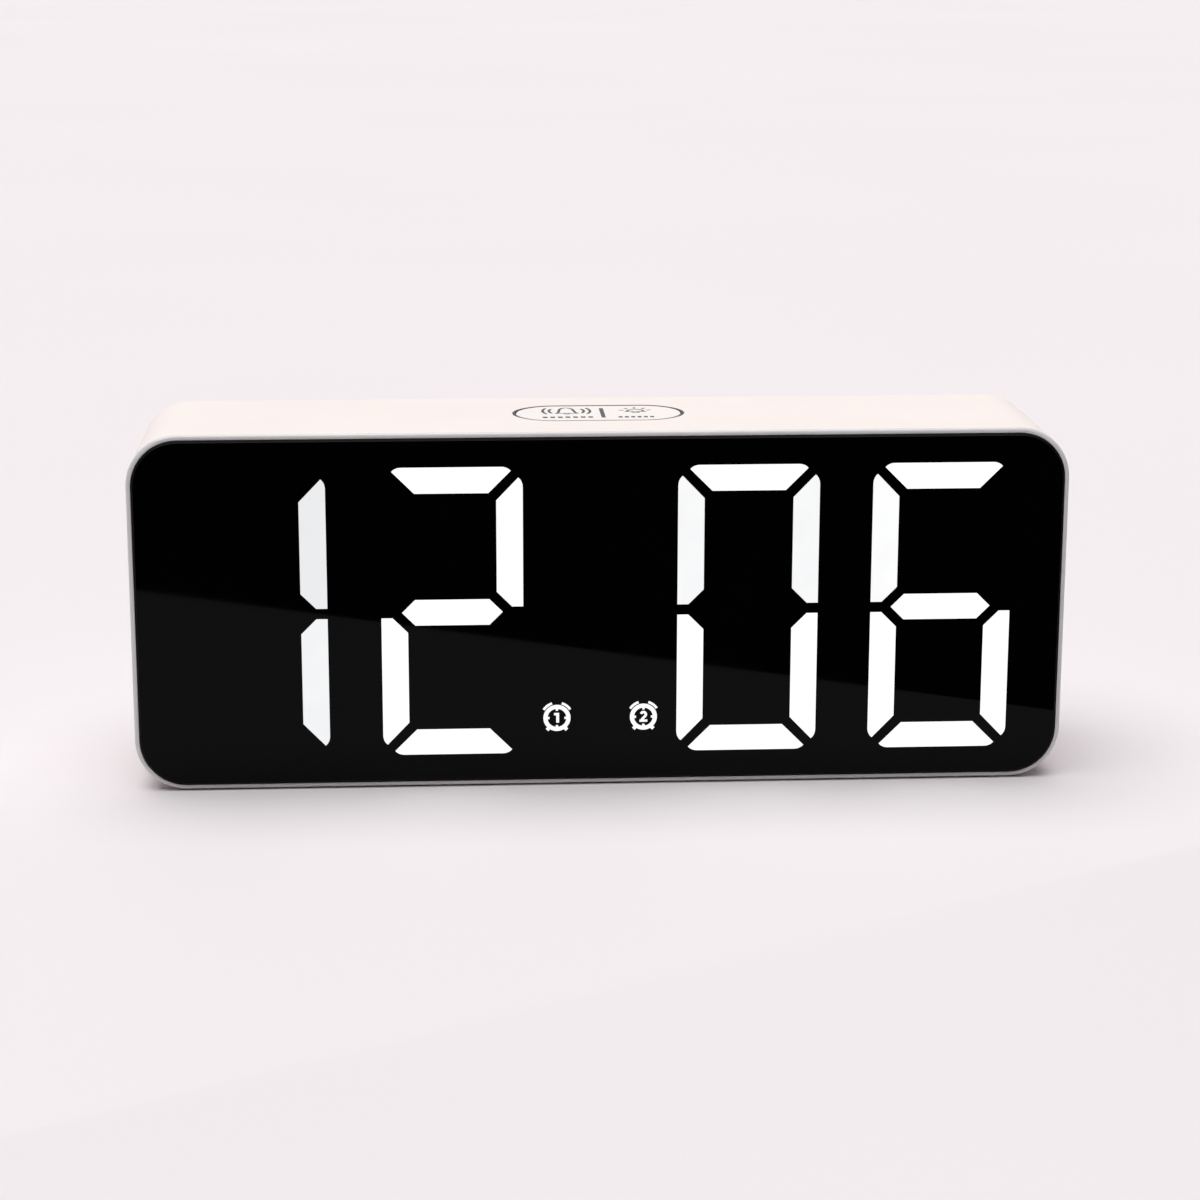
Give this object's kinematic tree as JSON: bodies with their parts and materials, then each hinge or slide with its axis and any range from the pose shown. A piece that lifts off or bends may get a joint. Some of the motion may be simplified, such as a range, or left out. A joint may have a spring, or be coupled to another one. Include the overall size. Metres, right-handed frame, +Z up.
{
  "type": "digital alarm clock",
  "caption": "Low wide table alarm clock: white sleeve case, gloss black front with large lit digits, top snooze key, rear keys and battery bay.",
  "frame": {"origin": "on the table, under the middle of the case", "axes": "+Z up, -Y out of the display, +X to the right of a person who reads the display"},
  "size_m": [0.16, 0.036, 0.062],
  "materials": {
    "white_plastic": "satin, fine moulded grain",
    "black_lens": "polished smoked acrylic",
    "black_tape": "matte foam tape",
    "black_film": "printed film",
    "white_film": "milky film",
    "reflector_white": "matte moulded",
    "board_green": "solder mask over glass fibre",
    "led_white": "clear over phosphor",
    "chip_black": "moulded epoxy with tinned legs",
    "bright_tin": "bright tin",
    "capacitor_sleeve": "drawn can",
    "socket_cream": "moulded nylon",
    "ribbon_grey": "flat insulated cable",
    "foot_rubber": "matte rubber",
    "switch_stem": "moulded",
    "switch_black": "moulded",
    "ring_black": "matte moulded",
    "screw_steel": "zinc plated",
    "wire_red": "soft insulation",
    "buzzer_black": "moulded",
    "contact_nickel": "nickel plated spring steel",
    "cell_wrap": "printed sleeve, plain",
    "button_grey": "satin moulded"
  },
  "bodies": {
    "case": {"front_bezel": "white_plastic", "main_shell": "white_plastic", "rear_cover": "white_plastic", "front_lens": "black_lens", "lens_tape": "black_tape", "digit_mask": "black_film", "diffuser_film": "white_film", "light_box": "reflector_white", "display_board": "board_green", "key_board": "board_green", "rear_board": "board_green", "segment_leds": "led_white", "indicator_leds": "led_white", "controller_chip": "chip_black", "driver_chip": "chip_black", "clock_crystal": "bright_tin", "filter_capacitors": "capacitor_sleeve", "display_cable_socket": "socket_cream", "rear_cable_socket": "socket_cream", "ribbon_cable": "ribbon_grey", "foot_pads": "foot_rubber", "key_switch_body": "switch_black", "button_switches": "switch_black", "key_trim_ring": "ring_black", "key_board_screws": "screw_steel", "cover_screws": "screw_steel", "rear_board_screws": "screw_steel", "key_wires": "wire_red", "battery_wires": "wire_red", "power_socket_shell": "bright_tin", "power_socket_tongue": "switch_black", "buzzer": "buzzer_black", "battery_plates": "contact_nickel", "battery_springs": "contact_nickel", "battery_cell_1": "cell_wrap", "battery_cell_2": "cell_wrap", "battery_cell_3": "cell_wrap"},
    "snooze_key": {"snooze_key": "white_plastic", "key_switch_plunger": "switch_stem"},
    "battery_door": {"battery_door": "white_plastic"},
    "time_button": {"time_button": "button_grey", "time_plunger": "switch_stem"},
    "alarm_button": {"alarm_button": "button_grey", "alarm_plunger": "switch_stem"},
    "up_button": {"up_button": "button_grey", "up_plunger": "switch_stem"},
    "down_button": {"down_button": "button_grey", "down_plunger": "switch_stem"},
    "mode_button": {"mode_button": "button_grey", "mode_plunger": "switch_stem"}
  },
  "joints": [
    {"name": "snooze_key_press", "type": "slide", "parent": "case", "child": "snooze_key", "axis": [0, 0, -1], "range_m": [0, 0.0007], "stiffness_N_per_m": 700, "springref_m": -0.001},
    {"name": "battery_door_swing", "type": "hinge", "parent": "case", "child": "battery_door", "pos_m": [0.037, 0.0152, 0.0133], "axis": [-1, 0, 0], "range_deg": [0, 80]},
    {"name": "time_button_press", "type": "slide", "parent": "case", "child": "time_button", "axis": [0, -1, 0], "range_m": [0, 0.0004], "stiffness_N_per_m": 900, "springref_m": -0.0008},
    {"name": "alarm_button_press", "type": "slide", "parent": "case", "child": "alarm_button", "axis": [0, -1, 0], "range_m": [0, 0.0004], "stiffness_N_per_m": 900, "springref_m": -0.0008},
    {"name": "up_button_press", "type": "slide", "parent": "case", "child": "up_button", "axis": [0, -1, 0], "range_m": [0, 0.0004], "stiffness_N_per_m": 900, "springref_m": -0.0008},
    {"name": "down_button_press", "type": "slide", "parent": "case", "child": "down_button", "axis": [0, -1, 0], "range_m": [0, 0.0004], "stiffness_N_per_m": 900, "springref_m": -0.0008},
    {"name": "mode_button_press", "type": "slide", "parent": "case", "child": "mode_button", "axis": [0, -1, 0], "range_m": [0, 0.0004], "stiffness_N_per_m": 900, "springref_m": -0.0008}
  ]
}
